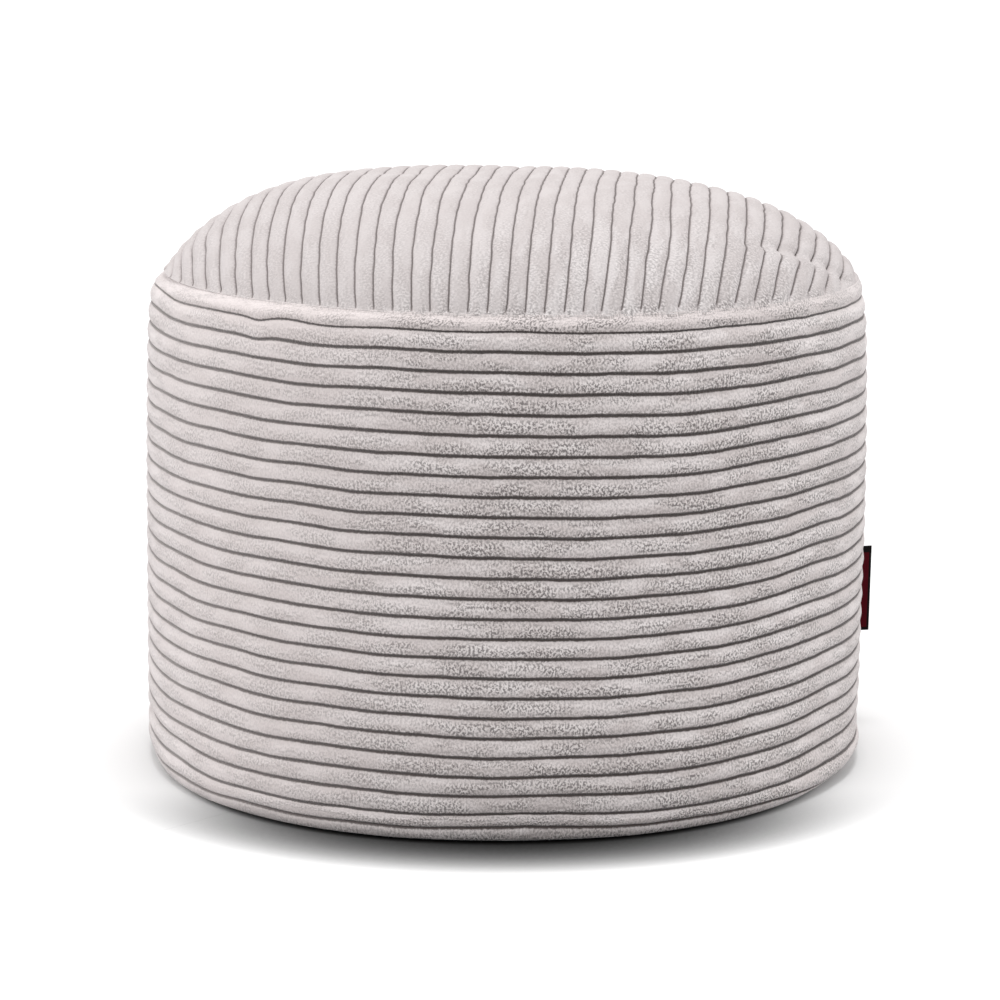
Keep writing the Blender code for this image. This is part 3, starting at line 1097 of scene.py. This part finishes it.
# %% The label's weave
LABEL_BLACK = (0.010, 0.008, 0.008)
LABEL_RED = (0.105, 0.004, 0.010)
LABEL_VALLEY = (0.004, 0.003, 0.003)  # the shade between two ribs
LABEL_RIB = 0.0006


def ribbon():
    material, tree, shader = new_material("label_weave", roughness=0.80, specular=0.06)
    across, tall = cloth_field(tree, "wale"), cloth_field(tree, "along")
    label_height = label_high.z - label_low.z
    # each side of the red field: the field measured on, where it starts and where it is full
    limits = ((across, 0.0020, 0.0030),
              (across, LABEL_REACH - 0.0022, LABEL_REACH - 0.0028),
              (tall, 0.0020, 0.0026),
              (tall, label_height - 0.0042, label_height - 0.0048))
    left, right, below, above = [ramp_node(tree, *limit) for limit in limits]
    field = scaled(tree, scaled(tree, scaled(tree, left, right), below), above)
    ribs = math_node(tree, "SINE", scaled(tree, tall, math.tau / LABEL_RIB))
    ribs = scaled(tree, ribs, 0.5, 0.5)
    colour = mix_colours(tree, field, LABEL_BLACK, LABEL_RED)
    colour = mix_colours(tree, scaled(tree, ribs, 0.35), colour, LABEL_VALLEY)
    link(tree, colour, shader["Base Color"])
    add_relief(tree, shader, ribs, 0.0002)
    return material


# %% Dress the pieces and tie them to the frame
pieces = (
    (top_panel, "top_panel", "top_corduroy", top_cord),
    (side_band, "side_band", "band_corduroy", band_cord),
    (bottom_panel, "bottom_panel", "base_cloth", plain_cloth()),
    (label, "label", "label_weave", ribbon()),
)
for piece, node, slot_name, finish in pieces:
    piece.data.materials.append(finish)
    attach(piece, "root")
    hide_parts(node)

# %% [markdown]
# ## Studio
# The light is a product studio's: a white floor, a broad light overhead and a
# little behind, a bright wall of cloth on the left, a dimmer one on the right, and
# little from the front and from behind. The front is lit least, which is what
# rounds the band. The walls of light are a sky that changes smoothly with
# direction, because a smooth sky has no edges to reflect, and the overhead light is
# a wide sun, so the floor is equally bright however far away it is.

# %% The sky of soft light
SKY_ALL_ROUND = 0.32
SKY_LOBE = 2.2  # more makes each wall of light narrower
# axis, its side, strength: left, right, behind and above
SKY_WALLS = (
    ("X", -1.0, 2.10),
    ("X", 1.0, 1.50),
    ("Y", 1.0, 0.05),
    ("Z", 1.0, 0.50),
)
WHITE = (1.0, 1.0, 1.0, 1.0)


def camera_ray(tree):
    return tree.nodes.new("ShaderNodeLightPath").outputs["Is Camera Ray"]


def soft_sky():
    world = bpy.data.worlds.new("studio")
    world.use_nodes = True
    tree = world.node_tree
    background = tree.nodes["Background"]
    way = tree.nodes.new("ShaderNodeTexCoord").outputs["Generated"]
    facing = new_node(tree, "ShaderNodeSeparateXYZ", Vector=way).outputs
    light = SKY_ALL_ROUND
    for axis, sign, amount in SKY_WALLS:
        toward = math_node(tree, "MAXIMUM", scaled(tree, facing[axis], sign), 0.0)
        light = scaled(tree, math_node(tree, "POWER", toward, SKY_LOBE), amount, light)
    link(tree, WHITE, background.inputs["Color"])
    link(tree, light, background.inputs["Strength"])
    seen = new_node(tree, "ShaderNodeBackground", Color=WHITE)
    mix = tree.nodes.new("ShaderNodeMixShader")
    link(tree, camera_ray(tree), mix.inputs["Fac"])
    link(tree, background.outputs["Background"], mix.inputs[1])
    link(tree, seen.outputs["Background"], mix.inputs[2])
    link(tree, mix.outputs["Shader"], tree.nodes["World Output"].inputs["Surface"])
    bpy.context.scene.world = world


# %% The overhead light and the floor
OVERHEAD_POWER = 1.6
OVERHEAD_TILT = (math.radians(-7.0), math.radians(2.0), 0.0)
OVERHEAD_SPREAD = math.radians(24.0)
FLOOR_SIZE = 400.0
FLOOR_DROP = -0.0002  # just below the bag, so that the two never share a plane
FLOOR_SEEN = (0.84, 0.84, 0.84)
CONTACT_REACH = 0.056  # the painted shadow round the foot reaches this far over the floor
CONTACT_DEPTH = 2.7
CONTACT_FRONT = (-0.12, -0.28)  # there is none behind the first Y, and all of it by the second
CONTACT_FACING = (0.0, 0.75, 0.66)  # the painted shadow looks up and back, so most of it falls in front
FLOOR_BOUNCE = (0.50, 0.50, 0.50)  # the floor throws this much back, so the bag isn't lit from below


def overhead_light():
    light = bpy.data.lights.new("overhead", "SUN")
    light.energy = OVERHEAD_POWER
    light.angle = OVERHEAD_SPREAD
    add_object("overhead", light).rotation_euler = OVERHEAD_TILT


def make_floor():
    bpy.ops.mesh.primitive_plane_add(size=FLOOR_SIZE, location=(0, 0, FLOOR_DROP))
    floor = bpy.context.object
    floor.name = "studio_floor"
    material, tree, shader = new_material("studio_floor", roughness=1.0, specular=0.0)
    # painted shadow: the floor's colour is darkened round the foot by ambient occlusion, mostly in front
    facing = vector_node(tree, *CONTACT_FACING)
    near = new_node(tree, "ShaderNodeAmbientOcclusion", Distance=CONTACT_REACH, Normal=facing)
    in_front = ramp_node(tree, place_parts(tree)["Y"], *CONTACT_FRONT)
    contact_shadow_keeps = math_node(tree, "POWER", near.outputs["AO"], scaled(tree, in_front, CONTACT_DEPTH))
    paper = mix_colours(tree, camera_ray(tree), FLOOR_BOUNCE, FLOOR_SEEN)
    link(tree, mix_colours(tree, contact_shadow_keeps, (0.0, 0.0, 0.0), paper), shader["Base Color"])
    floor.data.materials.append(material)
    return floor


soft_sky()
overhead_light()
make_floor()
bpy.context.scene.view_settings.view_transform = "Standard"

# %% Camera
CAMERA_PITCH = 0.1986  # how far it looks down, in radians

camera_data = bpy.data.cameras.new("camera")
camera_data.lens = 104.4
camera_data.sensor_width = 36.0
camera = add_object("camera", camera_data)
camera.location = (-0.0039, -1.990, 0.5712)
camera.rotation_euler = (math.pi / 2 - CAMERA_PITCH, 0.0, 0.0)
bpy.context.scene.camera = camera
